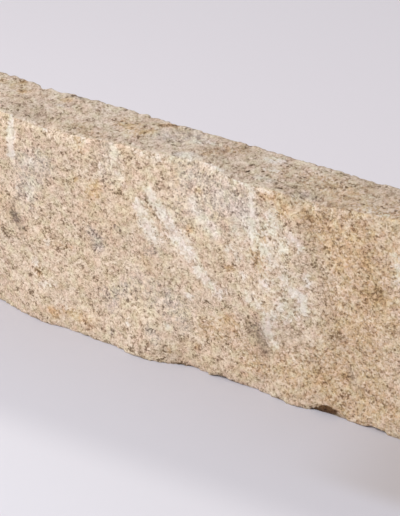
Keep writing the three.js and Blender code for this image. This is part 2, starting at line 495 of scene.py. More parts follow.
# Dark, grey, rusty and dull patches left of the fan.
STAINS_LEFT = Mark.listed(Face.FRONT, {
    Tone.UMBER: {
        0.8: [
            (-248, 101, -240, 96, 12), (-241, 98, 11), (-215, 112, 9), (-210, 53, 11), (-208, 28, 13),
            (-162, 73, 12),
        ],
        0.7: [
            (-226, 30, 10), (-205, 217, 10), (-200, 60, 9), (-193, 62, 8), (-181, 177, 12), (-170, 100, 10),
            (-157, 132, 10), (-156, 105, 10), (-141, 52, 11), (-102, 55, 11), (-95, 58, 11), (-83, 51, 9),
            (-81, 192, 9), (-76, 73, 11), (-74, 71, 9), (-70, 62, 8),
        ],
        0.6: [(-128, 143, -133, 128, 9), (-106, 210, -100, 195, -90, 190, -77, 190, 7)],
        0.5: [
            (-238, 147, 10), (-234, 135, -230, 128, 11), (-214, 167, 11), (-207, 190, 9), (-198, 153, 9),
            (-190, 203, 11), (-189, 235, 10), (-161, 164, 9), (-160, 217, 8), (-153, 184, 9),
            (-144, 195, 10), (-130, 15, 10), (-123, 50, 9), (-121, 37, 8), (-103, 200, 10), (-95, 15, 12),
            (-91, 65, 9), (-91, 197, 8), (-85, 148, 13), (-72, 25, 8), (-60, 64, 8),
        ],
        0.45: [(-230, 124, -224, 111, 15), (-118, 131, -108, 124, -111, 118, 16)],
    },
    Tone.SLATE: {
        1.0: [(-119, 132, -108, 125, -111, 117, 19)],
        0.7: [(-90, 52, -95, 44, 18)],
        0.6: [(-214, 167, 13), (-190, 203, 14), (-102, 60, -74, 74, 24), (-95, 15, 14), (-85, 148, 15)],
        0.5: [(-230, 124, -223, 111, 20)],
    },
    Tone.RUST: {
        0.6: [(-198, 60, 16), (-142, 192, 11)],
        0.45: [(-172, 104, -152, 104, 12)],
        0.35: [(-137, 238, -132, 232, 24)],
    },
    Tone.DUN: {
        1.0: [(-230, 124, -223, 111, 24)],
        0.6: [(-234, 136, -230, 124, 18), (-222, 242, -217, 228, 15)],
        0.5: [(-190, 233, -186, 220, 28)],
        0.32: [(-108, 240, -98, 230, 22)],
    },
})

# Dark, grey, rusty and dull patches in the fan.
STAINS_IN_FAN = Mark.listed(Face.FRONT, {
    Tone.UMBER: {
        1.0: [(72, 148, 9), (137, 230, 10)],
        0.8: [(-45, 194, -35, 185, -30, 173, 9)],
        0.7: [
            (-47, 55, 9), (-16, 151, 10), (-14, 175, 9), (13, 47, 8), (27, 223, 9), (76, 232, 9),
            (82, 108, 10), (111, 238, 8), (112, 114, 10), (128, 241, 9), (139, 125, 10), (160, 156, 10),
        ],
        0.6: [
            (-50, 228, 9), (-25, 210, 9), (-12, 215, 10), (-12, 236, 10), (8, 236, 8), (12, 170, 10),
            (27, 65, 8), (68, 140, 9), (87, 82, 99, 84, 13), (118, 188, 9), (145, 172, 9), (150, 90, 11),
            (158, 110, 10),
        ],
        0.5: [
            (38, 91, 9), (42, 219, 8), (53, 160, 9), (60, 98, 8), (70, 173, 9), (104, 160, 7),
            (110, 152, 8), (116, 54, 9), (140, 70, 10), (142, 160, 143, 154, 11), (170, 158, 172, 148, 9),
            (194, 194, 10),
        ],
    },
    Tone.SLATE: {
        0.6: [(-40, 128, -30, 132, 18)],
        0.5: [(106, 76, 112, 60, 116, 54, 28)],
    },
    Tone.RUST: {
        0.8: [(14, 172, 14), (27, 223, 14), (65, 77, 20), (68, 141, 14), (111, 185, 12), (137, 231, 24)],
        0.7: [(111, 239, 128, 241, 14)],
        0.5: [(101, 165, 110, 152, 24)],
    },
    Tone.DUN: {
        0.95: [(106, 76, 112, 60, 116, 54, 30)],
        0.4: [(-40, 128, -30, 132, 20), (174, 224, 182, 208, 26)],
        0.35: [(101, 165, 110, 152, 24)],
    },
})

# Dark, grey, rusty and dull patches right of the fan, and painted shade in the trough beside it.
STAINS_RIGHT = Mark.listed(Face.FRONT, {
    Tone.UMBER: {
        0.7: [(214, 32, 223, 30, 9)],
        0.6: [
            (178, 178, 10), (192, 38, 10), (202, 101, 212, 101, 12), (218, 53, 10), (233, 110, 11),
            (245, 195, 11),
        ],
        0.5: [
            (163, 65, 9), (186, 153, 9), (195, 108, 9), (218, 123, 8), (226, 230, 9), (230, 210, 8),
            (244, 217, 9), (257, 172, 252, 160, 243, 153, 12), (262, 220, 9), (272, 37, 9),
        ],
        0.4: [(200, 207, 190, 200, 12)],
    },
    Tone.SLATE: {
        0.6: [(226, 62, 233, 46, 16)],
    },
    Tone.RUST: {
        1.0: [(195, 204, 18), (218, 54, 14), (243, 195, 12), (262, 160, 16)],
        0.6: [(190, 37, 12), (206, 184, 18), (234, 108, 14), (245, 195, 18), (250, 160, 24)],
        0.5: [(166, 234, 190, 226, 34), (226, 215, 240, 150, 232, 70, 130), (340, 200, 420, 90, 150)],
        0.4: [(226, 18, 300, 30, 70)],
        0.35: [(100, 40, 180, 40, 80)],
    },
    Tone.DUN: {
        # painted shade: these two rows darken the trough along the fan's right edge, under the top arris
        0.8: [(166, 234, 168, 226, 22)],
        0.7: [(186, 236, 190, 230, 18)],
        0.56: [(198, 135, 199, 118, 24)],
        0.48: [(198, 104, 212, 100, 24)],
        0.45: [(262, 168, 250, 156, 34)],
        0.24: [(230, 215, 244, 150, 236, 60, 120)],
        0.2: [(120, 60, 230, 50, 90)],
    },
})

# Dark, grey, rusty and dull patches along the foot, and painted shade along its lowest edge.
STAINS_LOW = Mark.listed(Face.FRONT, {
    Tone.UMBER: {
        # painted shade: the rows at 0.9 and 0.8 darken the undercut foot and its line along the ground
        0.9: [(7, 5, 18, 4, 6)],
        0.8: [(-70, 0, -59, 3, -51, 0, 10), (-28, -1, -6, 2, 7, 4, 7), (164, 2, 178, 4, 5)],
        0.7: [
            (-65, 57, 11), (-45, 8, 10), (0, 35, 11, 34, 8), (20, 33, 31, 31, 8), (128, 10, 8),
            (150, 24, 8),
        ],
        0.5: [
            (-37, 50, 9), (-25, 68, 8), (-10, 78, 14), (34, 66, 8), (40, 40, 10), (50, 25, 10), (93, 72, 9),
            (102, 43, 9), (143, 32, 9),
        ],
        0.4: [(-40, 32, -34, 22, 18)],
    },
    Tone.SLATE: {
        0.7: [(-40, 32, -34, 22, 20)],
        0.5: [(-14, 82, -8, 72, 18)],
    },
    Tone.RUST: {
        1.0: [(-180, 16, -175, 13, 14)],
        0.7: [(-113, 190, -118, 180, 24), (-14, 14, 10), (24, 32, 12), (145, 12, 11)],
        0.45: [(30, 55, 66, 70, 34)],
        0.4: [(-158, 22, -128, 18, 22)],
    },
})

# The top: black crystals, dark spots, iron stains and picked spots.
TOP_MARKS = Mark.listed(Face.TOP, {
    Tone.BRUISE: {
        0.6: [(0, -18, 6, -28, 16), (78, 20, 92, 26, 18)],
        0.5: [
            (-262, 44, -252, 45, 12), (-12, -26, 0, -19, 8, -17, 15), (50, -31, 42, -36, 18),
            (88, 0, 102, 2, 16),
        ],
        0.4: [
            (-205, 10, -188, 10, 14), (-16, 16, 0, 22, 16), (26, -28, 40, -30, 12), (94, -22, 108, -24, 16),
        ],
        0.3: [(-60, 6, -46, 10, 18), (226, -26, 300, -20, 30)],
    },
    Tone.UMBER: {
        0.9: [(-72, 27, -60, 35, 10), (-42, 41, -30, 43, 9)],
        0.8: [(-297, 29, 9), (-75, 1, 8), (11, -7, 8), (75, -17, 8), (128, 2, 7)],
        0.7: [(-204, 37, -192, 39, 9)],
        0.6: [
            (-260, -3, 8), (-228, -8, 8), (-214, -36, 9), (-186, -10, 11), (-185, -25, 8), (-176, -23, 8),
            (-168, -17, 8), (-156, -18, 9), (-151, 37, 9), (-140, 32, 8), (-132, 39, 8), (-125, 12, 8),
            (-122, 40, 8), (-73, 9, 8), (-72, -8, 8), (-33, -6, 8), (-17, -25, 8), (27, -9, 8), (28, 24, 8),
            (38, 35, 8), (60, -17, 7), (64, 13, 7), (66, -10, 7), (95, 18, 7), (98, 36, 8), (127, 40, 8),
            (129, 3, 7), (133, 6, 7), (140, -23, 8), (141, 22, 8), (141, 23, 8), (166, 36, 8), (172, 14, 8),
            (175, -1, 9), (182, 9, 9), (187, 17, 9), (216, -37, 9), (246, -10, 8), (249, -21, 7),
            (252, -39, 8),
        ],
    },
    Tone.SLATE: {
        0.8: [(-204, 36, -192, 39, 12), (-42, 41, -30, 43, 12)],
        0.6: [(-12, -24, 0, -18, 10, -16, 18)],
        0.5: [(-55, 5, -20, 20, 40), (92, -22, 108, -24, 20), (158, -30, 172, -36, 22)],
    },
    Tone.RUST: {
        0.8: [
            (-297, 29, 14), (-275, 38, 13), (-257, 15, 14), (-202, 24, 14), (-97, 6, 18), (-75, 1, 14),
            (-71, 8, 14), (-68, 33, 14), (12, -7, 12),
        ],
        0.64: [(-72, 27, -60, 35, 15)],
        0.56: [(-201, 27, -203, 36, 16), (-112, 12, -80, -5, 36)],
        0.4: [(14, 4, 24, 12, 38, 24, 30)],
        0.36: [(200, -24, 300, -20, 50)],
        0.32: [(-281, 30, -262, 20, 30), (-150, -22, -112, -36, 30), (150, 10, 200, 5, 36)],
        0.24: [(120, 0, 260, 0, 90)],
        0.16: [(38, 34, 16, 20, 12)],
    },
    Tone.DUN: {
        0.6: [
            (-281, 38, -272, 38, 16), (-214, -16, -184, -38, 28), (196, 30, 204, 22, 24),
            (205, -14, 210, -8, 14),
        ],
        0.5: [
            (-218, -31, -202, -27, 20), (-150, -22, -112, -36, 26), (30, 30, 44, 30, 22),
            (170, -34, 208, -34, 30), (178, -44, 208, -40, 14), (228, 26, 242, 14, 30),
        ],
        0.42: [(14, 4, 24, 12, 38, 24, 30)],
        0.4: [(-242, -20, -226, -30, 26), (-88, 14, -84, 8, 22)],
        0.35: [(-204, 22, -186, 8, 26), (20, -12, 80, -22, 34), (130, -12, 180, -30, 46)],
    },
    Tone.MICA: {
        0.8: [
            (-266, 24, 5), (-201, 25, 5), (22, -4, 5), (69, -2, 6), (75, -17, 6), (89, -8, 5), (98, -13, 6),
            (125, -36, 130, -33, 5), (158, -6, 5), (164, -8, 6), (259, -11, 6),
        ],
        0.6: [
            (-254, 11, 5), (-138, 42, 5), (-118, 40, 5), (-88, 31, 5), (-73, -9, 5), (9, -6, 5), (12, 0, 5),
            (31, -42, 5), (64, 13, 5), (66, -11, 5), (95, 25, 5), (133, 7, 5), (145, 0, 5), (182, 8, 5),
            (186, 18, 5),
        ],
        0.5: [(30, 29, 35, 30, 4), (33, -9, 44, -11, 49, -10, 4)],
        0.4: [
            (-171, -23, 5), (-153, -20, 5), (-131, 15, 5), (-124, 11, 5), (-74, 9, 5), (-67, 32, 5),
            (-25, -26, 5), (60, -17, 5), (68, 26, 5), (95, 18, 5), (102, 19, 5), (140, -24, 5),
            (178, -27, 5), (203, 20, 5), (217, -37, 5),
        ],
    },
})

# The back: three more chisel marks and a few patches.
BACK_MARKS = Mark.listed(Face.BACK, {
    Tone.BRUISE: {
        0.9: [(-330, 250, -331, 196, 12), (12, 250, 10, 190, 12), (356, 250, 358, 204, 12)],
        0.7: [(-90, 150, -60, 120, -30, 70, 20)],
    },
    Tone.UMBER: {
        0.6: [
            (-420, 180, 12), (-380, 60, 14), (-250, 110, 11), (-160, 200, 12), (-60, 40, -30, 26, 30),
            (60, 130, 13), (140, 60, 11), (230, 210, 12), (300, 130, 310, 100, 20), (420, 90, 14),
        ],
    },
    Tone.SLATE: {
        0.5: [(120, 180, 220, 90, 80)],
    },
    Tone.RUST: {
        0.4: [(-200, 160, -120, 90, 110)],
    },
})
ALL_MARKS = (
    *CHISEL_MARKS, *FAN, *PALE_SKIN, *STAINS_LEFT, *STAINS_IN_FAN, *STAINS_RIGHT, *STAINS_LOW,
    *TOP_MARKS, *BACK_MARKS,
)


# ---- The granite ----


@dataclass(frozen=True)
class Grain:
    """One size of the stone's grain."""

    size: float  # its size
    share: float  # how far it moves the brightness


@dataclass(frozen=True)
class Granite:
    """The stone's finish: yellowish grey granite, its crystals grown cell by cell."""

    # the crystals' colours, from the darkest to the palest, each with the brightness it stands for
    sound: Ramp = (
        (0.0, srgb(122, 101, 80)),
        (0.18, srgb(162, 140, 117)),
        (0.36, srgb(194, 172, 148)),
        (0.55, srgb(214, 192, 169)),
        (0.75, srgb(227, 208, 186)),
        (1.0, srgb(240, 222, 202)),
    )
    # the same for crystals crushed white by a tool
    crushed: Ramp = ((0.0, srgb(170, 155, 139)), (0.4, srgb(214, 202, 187)), (1.0, srgb(244, 235, 224)))
    # the same for grey quartz-rich patches
    quartz: Ramp = ((0.0, srgb(118, 104, 94)), (0.4, srgb(184, 171, 160)), (1.0, srgb(236, 224, 213)))
    iron: Colour = srgb(249, 233, 207)  # the colour that iron stains are multiplied by
    mica: Colour = srgb(121, 99, 72)  # the colour that black mica, and the painted shade in the gap, are multiplied by
    rose: Colour = srgb(255, 249, 250)  # the colour that rosy feldspar is multiplied by
    moss: Colour = srgb(250, 254, 246)  # the colour that greenish feldspar is multiplied by
    weather: Colour = srgb(233, 235, 241)  # the colour that the top is multiplied by: greyer and a little darker than the sides
    grit: Grain = Grain(1.5 * MM, 0.56)  # the smallest crystals
    crystals: Grain = Grain(2.7 * MM, 0.46)  # the common crystals
    clusters: Grain = Grain(5.5 * MM, 0.28)  # the clusters that crystals grow in
    patches: Grain = Grain(13.0 * MM, 0.7)  # the patches that clusters gather in
    level: float = 0.575  # the brightness that these vary round
    unrest: float = 0.15  # how much coarser the grain of the top is
    shake_size: float = 2.5 * MM  # the size of the waves that shake the crystals' outlines out of true
    shake: float = 1.5 * MM  # how far they are shaken
    speck_spacing: float = 6.5 * MM  # the spacing of the dark mica specks
    speck_reach: float = 0.34  # the size of the largest, as a share of the spacing
    speck_depth: float = 0.26  # how much darker a speck is
    speck_gain: float = 0.12  # what the top adds to that
    tint_size: float = 1.0 / 90.0  # the size of rosy and greenish feldspar patches
    warm_size: float = 60.0 * MM  # the size of warmer stretches of stone
    warm_share: float = 0.34  # how warm they are, as a share of an iron stain
    tear_size: float = 7.0 * MM  # the size of the tears in a mark's edge
    # how far a bruise's edge is torn, and how far it keeps to its own crystals
    bruise_tear: Span = (0.55, 0.6)
    stain_tear: Span = (1.0, -0.5)  # the same for the other tones
    bruise_lift: float = 0.14  # how much brighter a bruise is
    umber_depth: float = 0.38  # how much darker an umber patch, and the painted shade along the foot, is
    umber_gain: float = 0.1  # what the top adds to that
    dun_depth: float = 0.45  # how much of its brightness duller stone, and the painted shade in the trough, loses
    dun_floor: float = 0.1  # what is added to the brightness that it is a share of
    slate_share: float = 0.8  # how grey the greyest patch is
    powder_share: float = 0.5  # how much of the grain is lost under the hardest blows
    powder_level: float = 0.62  # the brightness of stone crushed to powder there
    roughness: float = 0.82  # the roughness of the darkest crystals
    polish: float = 0.2  # how much smoother the palest are
    specular: float = 0.3  # how much light glances off
    relief: float = 0.7 * MM  # the height of the crystals on a broken face
    relief_size: float = 2.0 * MM  # the size of its roughness
    # the slant in which the top was picked level, in degrees from the stone's length
    pick_slant: float = -55.0
    pick_draw: float = 1.3  # how far that draws the grain out

    def material(self) -> bpy.types.Material:
        """Builds the granite, which reads Object coordinates and the painted tones.

        Returns:
            The material.
        """
        material = new_material("granite")
        GraniteTree(material.node_tree, self).build()
        return material


class GraniteTree(Graph):
    """The granite's node tree.

    Attributes:
        finish: the granite's colours and sizes.
        top: where the top is.
        place: where the grain is read.
        shaken: where crystals are read, so that their outlines aren't true.
        crystals: each common crystal's own number, 0 to 1.
    """

    POWDER = (0.85, 1.0)  # how strong a bruise is where stone turns to powder
    BLACK = (0.2, 0.6)  # how strong a mark is where a crystal turns black, and likewise for the painted shade in the gap
    EDGE = (0.0, 0.3)  # how strong a mark is at its very edge
    SPECK_EDGE = (-0.04, 0.08)  # the soft edge of a speck, as a share of the spacing
    TINTED = (0.4, 0.7)  # the noise at which a tint begins and is full
    WARM = (0.4, 0.75)  # the same for warmer stone

    def __init__(self, tree: bpy.types.NodeTree, finish: Granite) -> None:
        """Starts the tree with what the rest of it reads.

        Args:
            tree: the material's empty tree.
            finish: the granite's colours and sizes.
        """
        super().__init__(tree)
        self.finish = finish
        self.top = self._painted(KerbStone.TOP)
        self.place = self._drawn(self.term("ShaderNodeTexCoord")["Object"])
        shake = self.noise(self.place, finish.shake_size, Detail=3.0)["Color"]
        self.shaken = self.vector("ADD", self.place, self.scaled(shake, finish.shake))
        self.crystals = self._grown(finish.crystals)

    def build(self) -> None:
        """Builds the rest of the tree."""
        finish = self.finish
        tones = {tone: self._tone(tone) for tone in Tone}
        powder = finish.powder_share * self._painted(Tone.BRUISE.value).step(*self.POWDER)
        brightness = self._brightness()
        brightness = brightness + powder * (finish.powder_level - brightness)
        # umber patches, and the painted shade along the foot, darken the stone
        umber = (finish.umber_depth + finish.umber_gain * self.top) * tones[Tone.UMBER]
        shifted = brightness + finish.bruise_lift * tones[Tone.BRUISE] - umber
        # duller stone, and painted shade in the trough right of the fan
        shifted = shifted - finish.dun_depth * tones[Tone.DUN] * (shifted + finish.dun_floor)
        height = brightness + self.noise(self.place, finish.relief_size, Detail=2.0)
        bump = self.term("ShaderNodeBump", {"Distance": finish.relief, "Height": height})
        self.end_in_principled(
            {
                "Base Color": self._colour(shifted, tones),
                "Roughness": finish.roughness - finish.polish * brightness,
                "Specular IOR Level": finish.specular,
                "Normal": bump,
            }
        )

    def _painted(self, name: str) -> Term:
        """Reads an attribute painted on the stone."""
        return self.term("ShaderNodeAttribute", attribute_name=name)["Fac"]

    def _drawn(self, place: Term) -> Term:
        """Draws the grain of the top out along the slant in which it was picked level.

        Args:
            place: where the surface is.

        Returns:
            The place to read the grain at.
        """
        turn = (0.0, 0.0, radians(self.finish.pick_slant))
        draw = (self.finish.pick_draw, 1.0, 1.0)
        mapping = {"Vector": place, "Rotation": turn, "Scale": draw}
        turned = self.term("ShaderNodeMapping", mapping, vector_type="TEXTURE")
        on_top = self.maths("GREATER_THAN", self.top, 0.5)
        sockets = {"Factor_Float": on_top, "A_Vector": place, "B_Vector": turned}
        return self.term("ShaderNodeMix", sockets, data_type="VECTOR")[1]

    def _grown(self, grain: Grain) -> Term:
        """Grows crystals of one size, each with a number of its own from 0 to 1."""
        return self.parts(self.cells(self.shaken, grain.size)["Color"])["Red"]

    def _tone(self, tone: Tone) -> Term:
        """Reads a painted tone and breaks it up, crystal by crystal.

        Args:
            tone: the tone.

        Returns:
            How much of the tone shows.
        """
        painted = self._painted(tone.value)
        if tone is Tone.DUN:
            return painted
        # black crystals, and the painted shade in the gap, keep a soft edge
        if tone is Tone.MICA:
            return painted.step(*self.BLACK)
        tear, keep = self.finish.bruise_tear if tone is Tone.BRUISE else self.finish.stain_tear
        ragged = self.noise(self.place, self.finish.tear_size, Detail=4.0, Roughness=0.7)
        broken = painted + tear * (ragged - 0.5) + keep * (self.crystals - 0.5)
        return painted.step(*self.EDGE) * broken.step(0.0, 1.0)

    def _brightness(self) -> Term:
        """Mixes grit, crystals, clusters, patches and specks.

        Returns:
            The brightness, about 0 to 1.
        """
        finish, top = self.finish, self.top
        patches = self.noise(self.place, finish.patches.size, Detail=4.0, Roughness=0.7)
        fine = finish.grit.share * (self._grown(finish.grit) - 0.5)
        fine = (fine + finish.crystals.share * (self.crystals - 0.5)) * (1.0 - finish.unrest * top)
        coarse = finish.clusters.share * (self._grown(finish.clusters) - 0.5)
        coarse = (coarse + finish.patches.share * (patches - 0.5)) * (1.0 + finish.unrest * top)
        specks = self._specks() * (finish.speck_depth + finish.speck_gain * top)
        return finish.level + fine + coarse - specks

    def _specks(self) -> Term:
        """Scatters dark mica specks, each of its own size.

        Returns:
            How much of a speck there is, 0 to 1.
        """
        cells = self.cells(self.place, self.finish.speck_spacing)
        reach = self.finish.speck_reach * self.parts(cells["Color"])["Green"]
        return (reach - cells).step(*self.SPECK_EDGE)

    def _colour(self, brightness: Term, tones: dict[Tone, Term]) -> Term:
        """Colours the crystals and lays the tones over them.

        Args:
            brightness: the crystals' brightness.
            tones: how much of each tone shows.

        Returns:
            The stone's colour.
        """
        finish = self.finish
        sound, white, grey = (
            self.term("ShaderNodeValToRGB", {"Fac": brightness}, stops=ramp)
            for ramp in (finish.sound, finish.crushed, finish.quartz)
        )
        colour = self.blend(finish.slate_share * tones[Tone.SLATE], sound, grey)
        colour = self.blend(tones[Tone.BRUISE], colour, white)
        tints = self.parts(self.noise(self.place, finish.tint_size, Detail=1.0)["Color"])
        warm = self.noise(self.place, finish.warm_size, Detail=4.0, Roughness=0.65)
        for share, tint in (
            (tints["Red"].step(*self.TINTED), finish.rose),
            (tints["Green"].step(*self.TINTED), finish.moss),
            (warm.step(*self.WARM) * finish.warm_share, finish.iron),
            (self.top, finish.weather),
            (tones[Tone.RUST], finish.iron),
            # black mica, and the painted shade on the rock in the gap
            (tones[Tone.MICA], finish.mica),
        ):
            colour = self.blend(share, colour, tint, "MULTIPLY")
        return colour


# ---- The stone ----


@dataclass(frozen=True)
class Relief:
    """Sizes of the broken surface. Each is an input of the Geometry Nodes tree that raises it."""

    hackle_size: float = 16.0 * MM  # the size of the rough waves of a split
    hackle_rise: float = 1.6 * MM  # their height
    ledge_size: float = 60.0 * MM  # the size of the small ledges that the split steps over
    ledge_rise: float = 0.9 * MM  # the height of a ledge
    ledge_count: float = 9.0  # how many levels they lie on
    pit_size: float = 9.0 * MM  # the spacing of plucked crystals
    pit_depth: float = 0.8 * MM  # the depth that they leave
    crumble_size: float = 9.0 * MM  # the size of the crumbs lost from an arris
    crumble_depth: float = 1.9 * MM  # their depth

    def raise_on(
        self, stone: bpy.types.Object, material: bpy.types.Material, box: tuple[Vector, Vector]
    ) -> None:
        """Raises the relief on an object with a live modifier.

        Args:
            stone: the object.
            material: the material that the result carries.
            box: the lowest and highest corners that the stone may reach.
        """
        tree = ReliefTree(self, material).tree
        inputs = {item.name: item.identifier for item in tree.interface.items_tree if item.in_out == "INPUT"}
        modifier = stone.modifiers.new("relief", "NODES")
        modifier.node_group = tree
        for label in self.__dataclass_fields__:
            modifier[inputs[label]] = getattr(self, label)
        for label, corner in zip(ReliefTree.CORNERS, box):
            modifier[inputs[label]] = tuple(corner)


class ReliefTree(Graph):
    """The Geometry Nodes tree that raises the relief.

    Attributes:
        place: where the surface is.
        size: the tree's inputs, by name.
    """

    CORNERS = ("low_corner", "high_corner")
    FOOT = (0.2 * MM, 4.0 * MM)  # the relief fades in between these heights, above the level bed
    RISER = (0.3, 0.7)  # the stretch of a ledge's spacing in which it rises
    PIT = (0.45, 0.1)  # a pit's rim and its full depth, as shares of its cell
    CRUMBS = (0.4, 0.75)  # the noise at which a crumb begins and is full
    CRUMBLE_LEVEL = 0.45  # the share of a crumb at which an arris is neither lost nor left proud

    def __init__(self, relief: Relief, material: bpy.types.Material) -> None:
        """Builds the tree.

        Args:
            relief: the sizes, whose names become the tree's inputs.
            material: the material that the result carries.
        """
        super().__init__(bpy.data.node_groups.new("split_relief", "GeometryNodeTree"))
        labels = tuple(relief.__dataclass_fields__)
        self._socket("Stone", "OUTPUT", "Geometry")
        self._socket("Stone", "INPUT", "Geometry")
        for label in labels:
            self._socket(label, "INPUT", "Float")
        for label in self.CORNERS:
            self._socket(label, "INPUT", "Vector")
        given = self.term("NodeGroupInput")
        self.size = {label: given[label] for label in labels}
        self.place = self.term("GeometryNodeInputPosition")
        rise = self._hackle() + self._ledges() - self._pits() - self._crumble()
        height = self.term("ShaderNodeSeparateXYZ", {"Vector": self.place})["Z"]
        level = self.term("ShaderNodeCombineXYZ", {"X": 1.0, "Y": 1.0, "Z": height.step(*self.FOOT)})
        shift = self.vector("MULTIPLY", self.scaled(self.term("GeometryNodeInputNormal"), rise), level)
        moved = self.vector("MAXIMUM", self.vector("ADD", self.place, shift), given["low_corner"])
        moved = self.vector("MINIMUM", moved, given["high_corner"])
        stone = self.term("GeometryNodeSetPosition", {"Geometry": given["Stone"], "Position": moved})
        stone = self.term("GeometryNodeSetShadeSmooth", {"Geometry": stone})
        stone = self.term("GeometryNodeRealizeInstances", {"Geometry": stone})
        stone = self.term("GeometryNodeSetMaterial", {"Geometry": stone, "Material": material})
        self.node("NodeGroupOutput", {0: stone})

    def _socket(self, name: str, way: str, kind: str) -> None:
        """Adds an input or an output to the tree."""
        self.tree.interface.new_socket(name, in_out=way, socket_type=f"NodeSocket{kind}")

    def _hackle(self) -> Term:
        """Raises the rough waves of a split."""
        waves = self.noise(self.place, self.size["hackle_size"], Detail=4.0, Roughness=0.6)
        return (waves - 0.5) * self.size["hackle_rise"]

    def _ledges(self) -> Term:
        """Steps the surface over small ledges.

        Returns:
            How far it rises.
        """
        count = self.size["ledge_count"]
        levels = self.noise(self.place, self.size["ledge_size"], Detail=3.0, Roughness=0.5) * count
        riser = self.maths("FRACT", levels).step(*self.RISER)
        return (self.maths("FLOOR", levels) + riser - 0.5 * count) * self.size["ledge_rise"]

    def _pits(self) -> Term:
        """Plucks single crystals out of the surface."""
        return self.cells(self.place, self.size["pit_size"]).step(*self.PIT) * self.size["pit_depth"]

    def _crumble(self) -> Term:
        """Crumbles the arrises.

        Returns:
            How deep they are lost, or how far they are left proud where it is below 0.
        """
        arris = self.term("GeometryNodeInputNamedAttribute", {"Name": KerbStone.ARRIS}, data_type="FLOAT")
        crumbs = self.noise(self.place, self.size["crumble_size"], Detail=3.0, Roughness=0.6)
        return (crumbs.step(*self.CRUMBS) - self.CRUMBLE_LEVEL) * arris * self.size["crumble_depth"]


@dataclass(frozen=True)
class Swell:
    """Broken rock that stands a little proud of the part's plain facets."""

    middle: Place  # its middle, in millimetres from the middle of the block
    reach: Place  # how far it reaches each way, in millimetres
    rise: Place  # how far its middle is carried, in millimetres

    def lift(self, places: np.ndarray) -> np.ndarray:
        """Works out how far each of some points is carried, in metres."""
        away = (in_block(places) - self.middle) / self.reach
        return np.exp(-(away**2).sum(axis=1))[:, None] * np.array(self.rise) * MM


BACK_ARRIS_SWELLS = (
    Swell((-112, 38, 250), (42, 26, 40), (0, 5.0, 1.2)),
    Swell((-291, 39, 250), (22, 26, 40), (0, 2.5, 0.8)),
    Swell((-222, 37, 248), (16, 22, 30), (0, 3.0, 1.5)),
    Swell((188, 35, 250), (24, 26, 40), (0, 3.5, 0.5)),
)


@dataclass(frozen=True)
class Gap:
    """The arched gap over the ground where the front's foot broke off, with painted shade, in millimetres.
    """

    middle: float = 200.0  # its middle, along the block
    reach: float = 32.0  # half the stretch that it lies in
    rise: float = 12.0  # a height above it
    lip: float = -40.0  # where its lip is, back from the block's middle
    steepness: float = 2.2  # how fast the rock behind the lip comes down to the ground
    shade_middle: float = 190.0  # the middle of the painted shade on the rock in it, along the block
    shade_reach: float = 30.0  # half the stretch of painted shade
    shade_end: float = 20.0  # how far that fades in at its ends
    # how far behind the lip, and how dark the painted shade is there
    shade_depths: tuple[Span, ...] = ((0.0, 0.0), (0.8, 0.95), (2.2, 0.9), (3.8, 0.4), (14.0, 0.0))

    def behind(self, places: np.ndarray) -> np.ndarray:
        """Finds the rock in the gap.

        Args:
            places: the vertices, in metres.

        Returns:
            How far each lies behind the gap's lip.
        """
        along, back, up = in_block(places).T
        inside = (np.abs(along - self.middle) < self.reach) & (up < self.rise) & (back < 0.0)
        return np.where(inside, np.clip(back - self.lip, 0.0, None), 0.0)

    def shade(self, places: np.ndarray) -> np.ndarray:
        """Works out how dark the painted shade on the rock in the gap is, standing in for the shadow under
        the lip.

        Args:
            places: the vertices, in metres.

        Returns:
            The share of full strength of each.
        """
        along = in_block(places)[:, 0]
        ends = np.clip((self.shade_reach - np.abs(along - self.shade_middle)) / self.shade_end, 0.0, 1.0)
        return ends * np.interp(self.behind(places), *zip(*self.shade_depths))


class Skin:
    """A mesh whose vertices are moved and painted as arrays.

    Attributes:
        mesh: the mesh.
        places: where its vertices are.
        normals: the ways they look.
        edges: its edges, as pairs of vertices.
    """

    def __init__(self, mesh: bpy.types.Mesh) -> None:
        """Reads the mesh.

        Args:
            mesh: the mesh.
        """
        self.mesh = mesh
        places = np.empty(len(mesh.vertices) * 3)
        mesh.vertices.foreach_get("co", places)
        normals = np.empty(len(mesh.vertices) * 3, np.float32)
        mesh.vertex_normals.foreach_get("vector", normals)
        edges = np.empty(len(mesh.edges) * 2, np.int32)
        mesh.edges.foreach_get("vertices", edges)
        self.places = places.reshape(-1, 3)
        self.normals = normals.reshape(-1, 3).astype(float)
        self.edges = edges.reshape(-1, 2)

    def averaged(self, rows: np.ndarray, rounds: int, hold: np.ndarray | None = None) -> np.ndarray:
        """Averages values over neighbouring vertices.

        Args:
            rows: a row for each vertex.
            rounds: how often to average.
            hold: how much of its own value each vertex keeps, 0 to 1.

        Returns:
            The averaged rows.
        """
        count = len(rows)
        here, there = self.edges.T
        degree = np.bincount(self.edges.ravel(), minlength=count)
        kept = 0.0 if hold is None else hold[:, None]
        for _ in range(rounds):
            totals = [
                np.bincount(here, column[there], count) + np.bincount(there, column[here], count)
                for column in rows.T
            ]
            mean = 0.5 * rows + 0.5 * (totals / np.maximum(degree, 1)).T
            rows = kept * rows + (1.0 - kept) * mean
        return rows

    def move(self, places: np.ndarray) -> None:
        """Moves the vertices.

        Args:
            places: where they go, in metres.
        """
        self.places = places
        self.mesh.vertices.foreach_set("co", places.ravel())
        self.mesh.update()

    def store(self, name: str, values: np.ndarray) -> None:
        """Stores a number for each vertex."""
        attribute = self.mesh.attributes.new(name, "FLOAT", "POINT")
        attribute.data.foreach_set("value", values.astype(np.float32))


